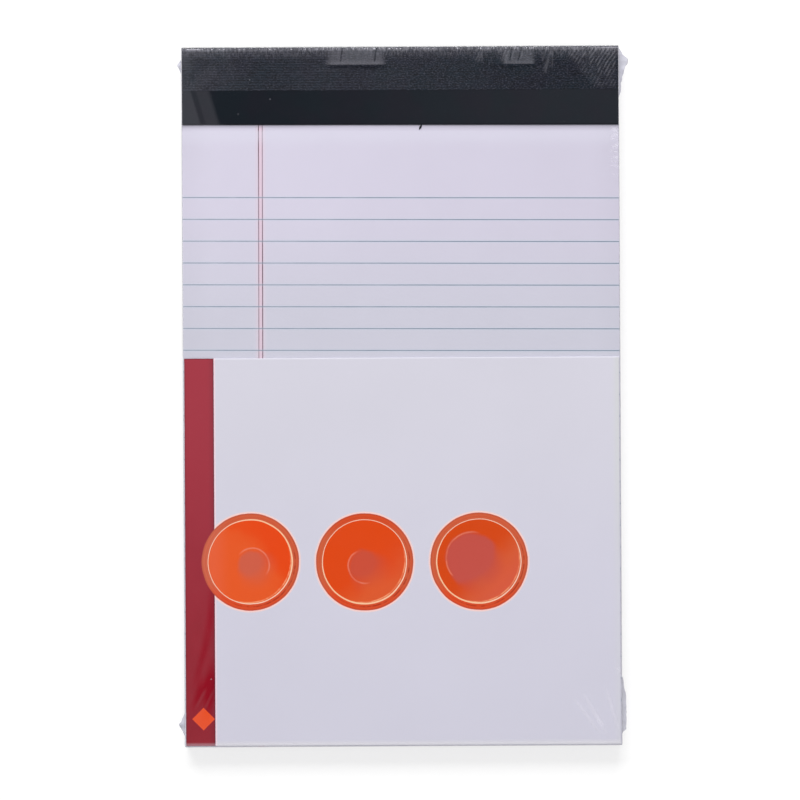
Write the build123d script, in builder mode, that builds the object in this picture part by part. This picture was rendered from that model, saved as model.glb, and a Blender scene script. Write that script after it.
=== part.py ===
from build123d import *
import os

# A narrow ruled legal pad, lying on its backing board: sheets stitched through to the board with wire,
# a black strip folded over the head, a loose printed card on the front and a clear shrink film round it all.
# X runs across the pad, Y from its foot to its head, and Z up from the table. Sizes are in millimetres.

# Sheets and board
sheet_width = 127.0
sheet_length = 203.2
sheet_thickness = 0.09
sheet_count = 50
board_thickness = 0.76

# Binding strip, trimmed flush with the sides of the sheets
strip_thickness = 0.18
front_flap_depth = 22.5
back_flap_depth = 19.0
stitched_zone_depth = 12.4     # the upper part of the front flap, pressed on over the stitches
stitched_zone_rise = 0.05
fold_radius = 0.3

# Wire stitches, of flat wire
wire_width = 0.7
wire_thickness = 0.5
wire_bend_radius = 0.55        # along the middle of the wire
wire_clearance = 0.03          # round the wire, where it passes through paper and board
crown_width = 12.7
crown_from_head = 4.7
crown_press = 0.15             # how far a crown is pulled into the top sheets
clinch_length = 4.5
clinch_proud = 0.1             # how far a clinched end stands out of the board
left_stitch_x = -12.1
right_stitch_x = 34.0

# Tents of the strip over the stitches
crown_flank = 1.6
crown_short_slope = 1.3
tent_clearance = 0.05          # between the wire and the strip over it
clinch_flank = 0.8

# Insert card
card_height = 112.7
card_thickness = 0.3
card_inset = 0.25              # the card stops this far short of the sides and the foot

# Shrink film
film_thickness = 0.05
film_clearance = 0.12          # between the sides of the pad and the film
film_ceiling_clearance = 0.05  # between the front of the pad and the film
film_corner_radius = 0.4
ear_thickness = 0.1

# Ears, where the film's side seams gather at the corners. Each runs along a side from start to end,
# measured from the nearer end of the pad, and stands out furthest, by its reach, at the tip. Between
# the tip and the end it draws in to a waist, at these shares of the way and of the reach.
waist_along = 0.45
waist_reach = 0.4
head_right_ear = {"start": 0.6, "tip": 3.8, "end": 14.2, "reach": 2.9}
head_left_ear = {"start": 3.5, "tip": 5.0, "end": 7.5, "reach": 1.3}
foot_right_ear = {"start": 0.6, "tip": 9.0, "end": 18.8, "reach": 1.4}
foot_left_ear = {"start": 3.2, "tip": 6.5, "end": 9.9, "reach": 2.0}

# Heights, from the table up
clinch_tent_height = clinch_proud + tent_clearance
flap_bottom = film_thickness + clinch_tent_height
board_bottom = flap_bottom + strip_thickness
sheets_bottom = board_bottom + board_thickness
sheets_top = sheets_bottom + sheet_count * sheet_thickness
strip_top = sheets_top + strip_thickness + stitched_zone_rise
card_top = sheets_top + card_thickness
film_ceiling = max(strip_top, card_top) + film_ceiling_clearance
film_top = film_ceiling + film_thickness
crown_tent_height = wire_thickness - crown_press + tent_clearance

# The sheets are moved off the origin so that the finished pad, with strip, film and ears, is centred on it
right_reach = max(head_right_ear["reach"], foot_right_ear["reach"])
left_reach = max(head_left_ear["reach"], foot_left_ear["reach"])
middle_x = (left_reach - right_reach) / 2
middle_y = -strip_thickness / 2
head = sheet_length / 2
stitches = {"staple_left": left_stitch_x, "staple_right": right_stitch_x}

os.makedirs("parts", exist_ok=True)


def level(height):
    """A level plane with its origin over the middle of the sheets."""
    return Plane((middle_x, middle_y, height))


def stitch_wire(stitch_x, grow=0.0):
    """One stitch: a crown, two legs and two ends clinched inwards. Its faces all move outwards by grow."""
    half = crown_width / 2
    tip = half - clinch_length - grow
    crown_z = sheets_top - crown_press + wire_thickness / 2
    clinch_z = board_bottom - clinch_proud + wire_thickness / 2
    corners = ((-tip, clinch_z), (-half, clinch_z), (-half, crown_z))
    corners += tuple((-x, z) for x, z in reversed(corners))
    with BuildPart(mode=Mode.PRIVATE) as wire:
        with BuildLine() as route:
            FilletPolyline(
                [level(z).from_local_coords((stitch_x + x, head - crown_from_head, 0)) for x, z in corners],
                radius=wire_bend_radius,
            )
        with BuildSketch(Plane(route.line @ 0, x_dir=(0, 1, 0), z_dir=route.line % 0)):
            Rectangle(wire_width + 2 * grow, wire_thickness + 2 * grow)
        sweep(path=route.line)
    return wire.part


def tent(height, rise, middle, ridge, flanks, slopes):
    """A low hipped form that rises from a level to a flat ridge.

    The ridge is a rectangle, width by depth, about the middle point. The base is wider by a flank on
    each side, and deeper by the two slopes, towards the foot and towards the head.
    """
    towards_foot, towards_head = slopes
    base_middle = (middle[0], middle[1] + (towards_head - towards_foot) / 2)
    with BuildPart(mode=Mode.PRIVATE) as form:
        with BuildSketch(level(height)):
            with Locations(base_middle):
                Rectangle(ridge[0] + 2 * flanks, ridge[1] + towards_foot + towards_head)
        with BuildSketch(level(height + rise)):
            with Locations(middle):
                Rectangle(*ridge)
        loft(ruled=True)
    return form.part


def crown_tent(stitch_x, height):
    """The form over a crown: a long slope up from the head, and a short one down towards the foot."""
    return tent(
        height,
        crown_tent_height,
        (stitch_x, head - crown_from_head),
        (crown_width + wire_thickness, wire_width),
        crown_flank,
        (crown_short_slope, crown_from_head - wire_width / 2),
    )


def clinch_tents(height):
    """The low forms under the clinched ends, two to a stitch, pointing down."""
    from_stitch = (crown_width - clinch_length) / 2
    ridge = (clinch_length + wire_thickness, wire_width)
    return [
        tent(
            height,
            -clinch_tent_height,
            (stitch_x + side * from_stitch, head - crown_from_head),
            ridge,
            clinch_flank,
            (clinch_flank, clinch_flank),
        )
        for stitch_x in stitches.values()
        for side in (-1, 1)
    ]


# Room for the wire where it runs through the sheets and the board
wire_room = [stitch_wire(x, grow=wire_clearance) for x in stitches.values()]

# Ruled sheets, as one block
with BuildPart() as sheet_block:
    with BuildSketch(level(sheets_bottom)):
        Rectangle(sheet_width, sheet_length)
    extrude(amount=sheets_top - sheets_bottom)
    add(wire_room, mode=Mode.SUBTRACT)

sheet_block.part.label = "sheet_block"
export_step(sheet_block.part, "parts/sheet_block.step")

# Backing board, grooved on its underside by the clinched ends
with BuildPart() as backing_board:
    with BuildSketch(level(board_bottom)):
        Rectangle(sheet_width, sheet_length)
    extrude(amount=board_thickness)
    add(wire_room, mode=Mode.SUBTRACT)

backing_board.part.label = "backing_board"
export_step(backing_board.part, "parts/backing_board.step")

# Wire stitches
for name, stitch_x in stitches.items():
    staple = stitch_wire(stitch_x)
    staple.label = name
    export_step(staple, f"parts/{name}.step")

# Binding strip: its section is drawn looking along the head, and carried the width of the pad
strip_plane = Plane((middle_x, middle_y, 0), x_dir=(0, 1, 0), z_dir=(1, 0, 0))
strip_head = head + strip_thickness
with BuildPart() as binding_strip:
    with BuildSketch(strip_plane) as section:
        with Locations((strip_head, flap_bottom)):
            Rectangle(
                strip_thickness,
                strip_top - flap_bottom,
                align=(Align.MAX, Align.MIN),
            )
            Rectangle(
                back_flap_depth + strip_thickness,
                strip_thickness,
                align=(Align.MAX, Align.MIN),
            )
        with Locations((strip_head, sheets_top)):
            Rectangle(
                front_flap_depth + strip_thickness,
                strip_thickness,
                align=(Align.MAX, Align.MIN),
            )
            Rectangle(
                stitched_zone_depth + strip_thickness,
                strip_thickness + stitched_zone_rise,
                align=(Align.MAX, Align.MIN),
            )
        head_corners = section.vertices().group_by(Axis.X)[-1]
        fillet(head_corners, fold_radius)
    extrude(amount=sheet_width / 2, both=True)
    add([crown_tent(x, strip_top) for x in stitches.values()])
    add([crown_tent(x, sheets_top) for x in stitches.values()], mode=Mode.SUBTRACT)
    add(clinch_tents(flap_bottom))
    add(clinch_tents(board_bottom), mode=Mode.SUBTRACT)

binding_strip.part.label = "binding_strip"
export_step(binding_strip.part, "parts/binding_strip.step")

# Insert card, loose on the lower part of the front
with BuildPart() as insert_card:
    with BuildSketch(level(sheets_top)):
        with Locations((0, card_inset - head)):
            Rectangle(
                sheet_width - 2 * card_inset,
                card_height,
                align=(Align.CENTER, Align.MIN),
            )
    extrude(amount=card_thickness)

insert_card.part.label = "insert_card"
export_step(insert_card.part, "parts/insert_card.step")


def film_form(inset):
    """The film's outer form, or with the film's thickness as inset, the hollow inside it."""
    spread = film_clearance + film_thickness - inset
    with BuildPart(mode=Mode.PRIVATE) as form:
        with BuildSketch(level(inset)):
            with Locations((0, strip_thickness / 2)):
                Rectangle(sheet_width + 2 * spread, sheet_length + strip_thickness + 2 * spread)
        extrude(amount=film_top - 2 * inset)
        fillet(form.edges(), film_corner_radius - inset)
        over_strip = strip_top + film_ceiling_clearance + film_thickness - inset
        add([crown_tent(x, over_strip) for x in stitches.values()])
    return form.part


# Shrink film, with its ears standing out of the side seams half way up
with BuildPart() as shrink_film:
    add(film_form(0))
    side = sheet_width / 2 + film_clearance + film_thickness
    foot_line = -head - film_clearance - film_thickness
    head_line = head + strip_thickness + film_clearance + film_thickness
    with BuildSketch(level((film_top - ear_thickness) / 2)):
        for ear, across, end, along in (
            (head_right_ear, 1, head_line, -1),
            (head_left_ear, -1, head_line, -1),
            (foot_right_ear, 1, foot_line, 1),
            (foot_left_ear, -1, foot_line, 1),
        ):
            root = across * (side - film_thickness / 2)
            waist = ear["tip"] + waist_along * (ear["end"] - ear["tip"])
            with BuildLine():
                Polyline(
                    (root, end + along * ear["start"]),
                    (across * (side + ear["reach"]), end + along * ear["tip"]),
                    (across * (side + waist_reach * ear["reach"]), end + along * waist),
                    (root, end + along * ear["end"]),
                    close=True,
                )
            make_face()
    extrude(amount=ear_thickness)
    add(film_form(film_thickness), mode=Mode.SUBTRACT)

shrink_film.part.label = "shrink_film"
export_step(shrink_film.part, "parts/shrink_film.step")
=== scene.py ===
# %% [markdown]
# # A ruled writing pad in its clear wrap
# The pad lies on its back with the ruled page up, as it does on a desk: X runs across the page, Y from
# its foot to the bound head, and Z up. The solids of every piece are loaded first as a fixed frame, and
# each piece made here is fitted to them. Sizes in this file are in millimetres until a mesh is made.

# %% Load the frame
import math
import bmesh
import bpy
import numpy as np
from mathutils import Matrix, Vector


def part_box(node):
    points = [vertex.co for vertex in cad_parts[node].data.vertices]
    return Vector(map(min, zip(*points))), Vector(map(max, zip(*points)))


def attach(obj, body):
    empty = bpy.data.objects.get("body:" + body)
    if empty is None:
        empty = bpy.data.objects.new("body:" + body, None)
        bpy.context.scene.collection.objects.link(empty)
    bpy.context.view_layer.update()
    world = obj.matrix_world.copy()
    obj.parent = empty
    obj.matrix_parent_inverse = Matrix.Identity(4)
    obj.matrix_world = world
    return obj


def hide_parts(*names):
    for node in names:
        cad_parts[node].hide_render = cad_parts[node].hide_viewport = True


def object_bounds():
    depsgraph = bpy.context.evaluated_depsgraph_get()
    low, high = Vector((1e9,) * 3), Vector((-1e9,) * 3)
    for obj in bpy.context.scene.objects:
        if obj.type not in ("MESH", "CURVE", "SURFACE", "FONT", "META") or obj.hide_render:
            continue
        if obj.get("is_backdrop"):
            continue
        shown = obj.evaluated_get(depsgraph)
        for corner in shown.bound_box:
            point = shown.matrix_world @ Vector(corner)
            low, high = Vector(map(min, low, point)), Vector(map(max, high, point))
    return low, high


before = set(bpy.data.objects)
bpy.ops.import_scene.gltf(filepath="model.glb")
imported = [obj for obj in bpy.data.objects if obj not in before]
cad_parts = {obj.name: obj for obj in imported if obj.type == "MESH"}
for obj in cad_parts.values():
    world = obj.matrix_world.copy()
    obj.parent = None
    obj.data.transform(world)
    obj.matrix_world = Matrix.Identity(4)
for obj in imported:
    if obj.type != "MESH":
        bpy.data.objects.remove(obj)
cad_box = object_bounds()
MM = 0.001
boxes = {name: [np.array(corner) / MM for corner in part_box(name)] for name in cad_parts}
for name, (low, high) in sorted(boxes.items()):
    print(f"{name:14s} from {np.round(low, 2)} to {np.round(high, 2)} mm")

# %% [markdown]
# ## Where things lie
# The paper stack, the strip, the card and the film all hang together by a few lines: the cut head of
# the sheets, the top of the stack, and the two stitches. They are read from the boxes of the solids, so
# that a piece made here can't drift away from them.

# %% Lines that the pieces share
sheets_low, sheets_high = boxes["sheet_block"]
strip_low, strip_high = boxes["binding_strip"]
card_low, card_high = boxes["insert_card"]
film_low, film_high = boxes["shrink_film"]
head, page_top = sheets_high[1], sheets_high[2]
middle_x = (sheets_low[0] + sheets_high[0]) / 2
crown_y = (boxes["staple_left"][0][1] + boxes["staple_left"][1][1]) / 2
stitch_xs = [(boxes[n][0][0] + boxes[n][1][0]) / 2 for n in ("staple_left", "staple_right")]
print(f"head {head:.2f}, page {page_top:.2f} mm up, stitches at x {np.round(stitch_xs, 2)}, y {crown_y:.2f}")

# %% [markdown]
# ## Surfaces from arrays
# Paper, card, strip and film are all thin sheets with a soft edge. Each is a grid of points worked out
# as whole arrays from two parameters. The helpers below turn such a grid into a closed mesh, and give
# smooth waves that look random and are the same on each run.

# %% Grids, meshes and waves
rng = np.random.default_rng(12)


def grid_faces(rows, columns, closed=False):
    """Quads between neighbouring points of a grid. A closed grid joins its last column to its first."""
    index = np.arange(rows * columns).reshape(rows, columns)
    if closed:
        index = np.hstack([index, index[:, :1]])
    corners = (index[:-1, :-1], index[:-1, 1:], index[1:, 1:], index[1:, :-1])
    return np.stack(corners, axis=-1).reshape(-1, 4)


def make_piece(name, points, faces, stands_for, sharp=None):
    """A closed mesh piece from points in millimetres, its doubled points welded and its faces turned out."""
    mesh = bpy.data.meshes.new(name)
    mesh.from_pydata((points.reshape(-1, 3) * MM).tolist(), [], faces.tolist())
    form = bmesh.new()
    form.from_mesh(mesh)
    bmesh.ops.remove_doubles(form, verts=form.verts, dist=1e-7)
    bmesh.ops.dissolve_degenerate(form, edges=form.edges, dist=1e-8)
    bmesh.ops.recalc_face_normals(form, faces=form.faces)
    open_edges = sum(len(edge.link_faces) != 2 for edge in form.edges)
    form.to_mesh(mesh)
    form.free()
    mesh.shade_smooth()
    if sharp:
        mesh.set_sharp_from_angle(angle=math.radians(sharp))
    piece = bpy.data.objects.new(name, mesh)
    bpy.context.scene.collection.objects.link(piece)
    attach(piece, "root")
    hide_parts(stands_for)
    triangles = sum(len(face.vertices) - 2 for face in mesh.polygons)
    print(f"{name}: {len(mesh.vertices)} points, {triangles} triangles, {open_edges} open edges")
    return piece


def waves(x, y, length, seed, count=7):
    """A smooth random height of about -1 to 1: a sum of sine waves of one length in random directions."""
    draw = np.random.default_rng(seed)
    turn, phase = draw.uniform(0, np.pi, count), draw.uniform(0, 2 * np.pi, count)
    stretch = draw.uniform(0.7, 1.4, count)
    total = sum(
        np.sin(2 * np.pi * s * (x * np.cos(t) + y * np.sin(t)) / length + p)
        for t, p, s in zip(turn, phase, stretch)
    )
    return total / np.sqrt(count)


def smooth(low, high, value):
    """0 below low, 1 above high, and an S-shaped step between them."""
    share = np.clip((value - low) / (high - low), 0, 1)
    return share * share * (3 - 2 * share)


def spaced(*runs):
    """Positions along an axis from runs of (start, end, step), in order and without repeats."""
    found = np.concatenate([np.linspace(a, b, max(2, round((b - a) / step) + 1)) for a, b, step in runs])
    found = np.sort(found)
    return found[np.concatenate([[True], np.diff(found) > 1e-3])]


# %% [markdown]
# ## A slab with rounded edges
# A cut card, a page and the film round the pad are all one form: a flat box whose edges are slightly
# round. It is drawn here as rings. Each ring is a closed loop round the box in the Y-Z plane, and the
# rings are carried across X. Towards each side the loops draw in, first round the edge and then down
# the side wall to a seam at half height, where the loop has closed to a line.

# %% The slab's rings
WALL_SHARES = np.array([0.0, 0.5, 1.0])


def slab_rings(low, high, radius, columns, rows, arc=3, wall_shares=WALL_SHARES, wall_rows=3):
    """Points of a rounded box, the share and the flatness of each ring, and how far each point faces up.

    Point = (ring's x, core y + inset * direction y, middle z + share * core z + inset * direction z),
    where core is the box drawn in by the radius, inset grows from 0 at the wall to the radius on the
    flats, and share grows from 0 at the seam to 1 at the edge.
    """
    low, high = np.array(low, float), np.array(high, float)
    middle, core = (low + high) / 2, (high - low) / 2 - radius
    angle = np.linspace(0, np.pi / 2, arc + 1)
    flat = rows - middle[1]
    one, wall = np.ones_like(flat), np.linspace(core[2], -core[2], wall_rows + 1)[1:-1]
    quarter_y, quarter_z = np.sin(angle), np.cos(angle)
    loop = [
        (flat, core[2] * one, 0 * one, one),
        (core[1] + 0 * angle, core[2] + 0 * angle, quarter_y, quarter_z),
        (core[1] + 0 * wall, wall, 1 + 0 * wall, 0 * wall),
        (core[1] + 0 * angle, -core[2] + 0 * angle, quarter_y[::-1], -quarter_z[::-1]),
        (flat[::-1], -core[2] * one, 0 * one, -one),
        (-core[1] + 0 * angle, -core[2] + 0 * angle, -quarter_y, -quarter_z),
        (-core[1] + 0 * wall, wall[::-1], -1 + 0 * wall, 0 * wall),
        (-core[1] + 0 * angle, core[2] + 0 * angle, -quarter_y[::-1], quarter_z[::-1]),
    ]
    core_y, core_z, out_y, out_z = (np.concatenate(part) for part in zip(*loop))
    left_x = np.concatenate([np.full(len(wall_shares), low[0]), (low[0] + radius * (1 - np.cos(angle)))[1:]])
    left_inset = np.concatenate([np.zeros(len(wall_shares)), radius * np.sin(angle)[1:]])
    left_share = np.concatenate([wall_shares, np.ones(arc)])
    ring_x = np.concatenate([left_x, columns, (low[0] + high[0] - left_x)[::-1]])
    inset = np.concatenate([left_inset, np.full(len(columns), radius), left_inset[::-1]])
    share = np.concatenate([left_share, np.ones(len(columns)), left_share[::-1]])
    x = ring_x[:, None] + 0 * core_y
    y = middle[1] + core_y + inset[:, None] * out_y
    z = middle[2] + share[:, None] * core_z + inset[:, None] * out_z
    return np.stack([x, y, z], axis=-1), share, inset / radius, out_z


def slab_faces(points):
    """The faces of such rings: each loop is closed, and each ring joins the next."""
    return grid_faces(points.shape[0], points.shape[1], closed=True)


# %% [markdown]
# ## The top page
# The page that shows is one sheet of white bond paper. It could be the top face of the stack, but then
# its edge and the shadow under it would be lost, so it is a sheet of its own, 0.09 mm thick, lying on
# the others with the faint swell that paper has after stitching.

# %% The ruled page
SHEET = 0.09
points, _, _, up = slab_rings(
    (sheets_low[0], sheets_low[1], page_top - SHEET),
    (sheets_high[0], sheets_high[1], page_top),
    0.03,
    spaced((sheets_low[0] + 0.4, sheets_high[0] - 0.4, 2.5)),
    spaced((sheets_low[1] + 0.4, head - 0.4, 2.5)),
    arc=2,
)
points[..., 2] += np.maximum(up, 0) * 0.008 * waves(points[..., 0], points[..., 1], 60, seed=3)
faces = slab_faces(points)
ruled_page = make_piece("ruled_page", points, faces, "sheet_block", sharp=50)

# %% [markdown]
# ## The sheets below it
# Forty-nine more sheets make the body of the pad. Only their cut edges show, as fine lines, because
# every sheet lies a few hundredths of a millimetre off its neighbours. One wall is carried round the
# pad's outline, with a shallow groove between each two sheets, and each sheet gets its own small shift.

# %% The stack of pages
def outline_round(low, high, step):
    """Points round a rectangle, and the way out at each. At a corner both sides move out alike."""
    along_x, along_y = spaced((low[0], high[0], step)), spaced((low[1], high[1], step))
    sides = [
        (along_x[:-1], np.full(len(along_x) - 1, low[1])),
        (np.full(len(along_y) - 1, high[0]), along_y[:-1]),
        (along_x[:0:-1], np.full(len(along_x) - 1, high[1])),
        (np.full(len(along_y) - 1, low[0]), along_y[:0:-1]),
    ]
    x, y = (np.concatenate(part) for part in zip(*sides))
    out_x = np.isclose(x, high[0]) * 1.0 - np.isclose(x, low[0])
    out_y = np.isclose(y, high[1]) * 1.0 - np.isclose(y, low[1])
    return x, y, out_x, out_y


sheets_below = round((page_top - SHEET - sheets_low[2]) / SHEET)
x, y, out_x, out_y = outline_round(sheets_low, sheets_high, 2.5)
level = np.arange(sheets_below)[:, None] + np.array([0.06, 0.5, 0.94, 1.0])
drift = np.cumsum(rng.normal(0, 0.012, (sheets_below, 2)), axis=0)
shift = np.clip(drift - drift.mean(axis=0) + rng.normal(0, 0.018, (sheets_below, 2)), -0.07, 0.07)
inward = np.array([0.0, -0.004, 0.0, 0.035])
heights = sheets_low[2] + SHEET * level.ravel()
shift_x, shift_y = (np.repeat(shift[:, axis], 4)[:, None] for axis in (0, 1))
draw_in = np.tile(inward, sheets_below)[:, None] + 0.02
wander = 0.012 * waves(x[None] + y[None], heights[:, None] * 40, 45, seed=5)
wall = np.stack(
    [
        x + shift_x * np.abs(out_x) + out_x * (wander - draw_in),
        y + shift_y * np.abs(out_y) + out_y * (wander - draw_in),
        heights[:, None] + 0 * x,
    ],
    axis=-1,
)
centre = np.array([x.mean(), y.mean(), 0.0])
caps = [np.broadcast_to(centre + [0, 0, z], wall[:1].shape) for z in (heights[0], heights[-1])]
points = np.concatenate([caps[0], wall, caps[1]])
points[..., 2] = np.clip(points[..., 2], sheets_low[2] + 0.002, page_top - SHEET - 0.002)
faces = slab_faces(points)
page_stack = make_piece("page_stack", points, faces, "sheet_block", sharp=30)

# %% [markdown]
# ## The binding strip
# A strip of black paper is folded over the head and stitched through. Its front has two parts: near
# the head it is pressed down by rollers, which leave fine ribs across it, and below that it is smooth.
# Over each stitch it rises to a low tent, with a long slope up from the head, a short one down to the
# ribs, and a crease near each end of the wire. The strip is one profile carried across the pad, its
# height a sum of these forms, and a second skin inside gives it the paper's thickness.

# %% The strip's profile and tents
STRIP = 0.17
fold = 0.3
front_depth, back_depth, zone_depth = 22.5, 19.0, 12.4
flap_z, zone_z = page_top + STRIP + 0.012, page_top + STRIP + 0.05
head_out = strip_high[1]
zone_y = head - zone_depth
crease_offs = ((-5.3, 4.6), (-2.2, 0.2))
crease_leans = (0.15, 0.15, 0.17, 0.26)
crown_half, crown_rise, half_wire = 6.5, 0.4, 0.35
rib_pitch, crease_width, crease_depth = 0.75, 0.16, 0.17
tent_flanks = ((3.2, 2.0), (1.0, 1.0))


def hipped(value, start, end, soft):
    """1 between start and end, and outside them straight slopes of the two soft lengths.

    The upper corners are rounded: height = slope * (1.15 - 0.15 * slope squared).
    """
    slope = np.minimum((value - start) / soft[0] + 1, (end - value) / soft[1] + 1)
    slope = np.clip(slope, 0, 1)
    return slope * (1.15 - 0.15 * slope * slope)


def crown_tents(x, y, grow=0.0):
    """Height of the tents over the crowns: a flat ridge over each wire, with a long slope to the head.

    Height = rise * hipped across the pad * hipped along it.
    """
    half, wire = crown_half + grow, half_wire + grow
    across = sum(hipped(x, s - half, s + half, flanks) for s, flanks in zip(stitch_xs, tent_flanks))
    along = hipped(y, crown_y - wire, crown_y + wire, (1.3, head - crown_y - half_wire))
    return crown_rise * across * along


crease_xs = [s + off for s, offs in zip(stitch_xs, crease_offs) for off in offs]


def creases(x, y):
    """Two narrow grooves over each stitch, each a bell curve across, from the crown nearly to the head."""
    off = [x - at - lean * (y - crown_y) for at, lean in zip(crease_xs, crease_leans)]
    groove = sum(np.exp(-((distance / crease_width) ** 2)) for distance in off)
    return groove * smooth(crown_y + 0.1, crown_y + 0.9, y) * smooth(head - 0.6, head - 1.6, y)


def strip_height(x, y):
    """Height of the strip's front: flap + rise of the rolled zone + tents + ribs + swell - creases."""
    zone = smooth(zone_y - 0.15, zone_y + 0.15, y)
    tents = crown_tents(x, y)
    flat_here = 1 - smooth(0.02, 0.2, tents)
    lines = np.sin(2 * np.pi * (y - zone_y) / rib_pitch + 0.5 * waves(x, y, 30, seed=8))
    ribs = 0.017 * lines * zone * (0.4 + 0.6 * flat_here) * (0.75 + 0.35 * waves(x, 3 * y, 14, seed=9))
    swell = 0.010 * waves(x, y, 26, seed=10) * (0.3 + 0.7 * zone)
    return flap_z + (zone_z - flap_z) * zone + tents + ribs + swell - crease_depth * creases(x, y)


# %% [markdown]
# The profile runs from the front flap's lower edge over the fold and along the back. The lower edge of
# the real strip isn't quite square to the pad, so the flap is a little deeper at the right.

# %% The binding strip
fold_y = head_out - fold
columns = spaced(
    (strip_low[0], strip_high[0], 1.3),
    *[(s - 8.6, s + 8.6, 0.45) for s in stitch_xs],
    *[(at - 0.5, at + 1.5, 0.12) for at in crease_xs],
)
front_y = spaced((head - front_depth, zone_y - 0.3, 0.8), (zone_y - 0.3, fold_y, 0.17))
turn = np.linspace(0, np.pi / 2, 5)[1:]
wall_z = np.linspace(zone_z - fold, strip_low[2] + 0.15 + fold, 7)[1:]
back_y = spaced((head - back_depth, fold_y, 0.8))[::-1][1:]
back_z = boxes["backing_board"][0][2] - STRIP - 0.005
drop = back_z - zone_z
profile = [
    (front_y, 0 * front_y),
    (fold_y + fold * np.sin(turn), -fold * (1 - np.cos(turn))),
    (head_out + 0 * wall_z, wall_z - zone_z),
    (fold_y + fold * np.cos(turn), drop + fold * (1 - np.sin(turn))),
    (back_y, drop + 0 * back_y),
]
profile_y, profile_z = (np.concatenate(part) for part in zip(*profile))
place = np.arange(len(profile_y))
front, behind = place < len(front_y) + len(turn), place >= len(profile_y) - len(back_y)
x, y = np.meshgrid(columns, profile_y, indexing="ij")
z = np.where(front, strip_height(x, np.minimum(y, fold_y)), zone_z) + profile_z
clinch_off, clinch_half, clinch_drop, clinch_flanks = 4.1, 2.5, 0.14, (0.8, 0.8)
clinch_xs = [s + off for s in stitch_xs for off in (-clinch_off, clinch_off)]
clinch_x = sum(hipped(x, at - clinch_half, at + clinch_half, clinch_flanks) for at in clinch_xs)
clinch_y = hipped(y, crown_y - half_wire, crown_y + half_wire, clinch_flanks)
z = z - behind * clinch_drop * clinch_x * clinch_y
below_zone = np.clip((zone_y - y) / (zone_y - head + front_depth), 0, 1)
edge_lean = (0.25 - 0.5 * (x - strip_low[0]) / (strip_high[0] - strip_low[0])) * below_zone
outer = np.stack([x, y + edge_lean * front, z], axis=-1)


def shell(outer, thickness):
    """A closed shell: the outer grid, an inner one set back along its normals, and a rim round the border."""
    along, across = np.gradient(outer, axis=0), np.gradient(outer, axis=1)
    normal = np.cross(along, across)
    normal /= np.linalg.norm(normal, axis=-1, keepdims=True)
    inner = outer - thickness * normal
    rows, columns = outer.shape[:2]
    index = np.arange(rows * columns).reshape(rows, columns)
    border = np.concatenate([index[0, :-1], index[:-1, -1], index[-1, :0:-1], index[:0:-1, 0]])
    after = np.roll(border, -1)
    rim = np.stack([border, border + rows * columns, after + rows * columns, after], axis=-1)
    faces = grid_faces(rows, columns)
    return np.stack([outer, inner]), np.concatenate([faces, faces[:, ::-1] + rows * columns, rim])


points, faces = shell(outer, STRIP)
binding_strip = make_piece("strip_of_black_paper", points, faces, "binding_strip", sharp=60)

# %% [markdown]
# A shred of the black paper hangs from the strip's lower edge, where the cut tore a fibre loose. It is
# a small bent leaf, drawn as a tapered ribbon along a short curve, lying on the page.

# %% The torn shred
along, across = np.meshgrid(np.linspace(0, 1, 15), np.linspace(-1, 1, 5), indexing="ij")
half = 0.07 + 0.24 * np.sin(np.pi * along**1.4) ** 1.5 - 0.05 * along
root_x, root_y, shred_lean = 5.95, head - front_depth + 0.35, 0.5
shred_x = root_x - 0.95 * along + across * half * math.cos(shred_lean)
shred_y = root_y - 1.85 * along - across * half * math.sin(shred_lean)
shred_z = page_top + 0.11 + 0.05 * np.sin(np.pi * along) + 0.02 * across**2
points, faces = shell(np.stack([shred_x, shred_y, shred_z], axis=-1), 0.05)
shred = make_piece("torn_shred", points, faces, "binding_strip", sharp=60)

# %% [markdown]
# ## The printed card
# A card lies loose on the lower part of the page. It is stiff stock, cut with a blade, so its edges are
# nearly square with the least rounding, and it bows by a few hundredths of a millimetre under the film.

# %% The insert card
points, _, _, up = slab_rings(
    card_low, card_high, 0.07,
    spaced((card_low[0] + 0.6, card_high[0] - 0.6, 2.4)),
    spaced((card_low[1] + 0.6, card_high[1] - 0.6, 2.4)),
    arc=3,
)
bow = 0.012 * waves(points[..., 0], points[..., 1], 90, seed=14)
points[..., 2] += np.maximum(up, 0) * np.minimum(bow, 0.0)
faces = slab_faces(points)
insert_card = make_piece("insert_card_sheet", points, faces, "insert_card", sharp=50)

# %% [markdown]
# ## The shrink film
# Clear film is drawn tight round everything by heat. It lies flat on the paper and stands off a little
# over the stitches and beside the pad's edges. Where it had too much to shrink it is left with fine
# creases: a dense hatch at the right end of the strip, a few short ones by the right stitch, and long
# faint ones at the lower right of the card. At the corners its side seams are gathered into small ears.
# The film is one closed skin of rings, and every crease is a low ridge added to its height.

# %% Ridges and ears
def ridge(x, y, start, end, width, height):
    """A low round ridge along a line: height times a bell curve of the distance, fading at both ends."""
    start, end = np.array(start, float), np.array(end, float)
    length = np.linalg.norm(end - start)
    along_x, along_y = (end - start) / length
    run = (x - start[0]) * along_x + (y - start[1]) * along_y
    off = (x - start[0]) * -along_y + (y - start[1]) * along_x
    ends = smooth(-0.12 * length, 0.2 * length, run) * smooth(1.12 * length, 0.8 * length, run)
    return height * np.exp(-((off / width) ** 2)) * ends


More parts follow.
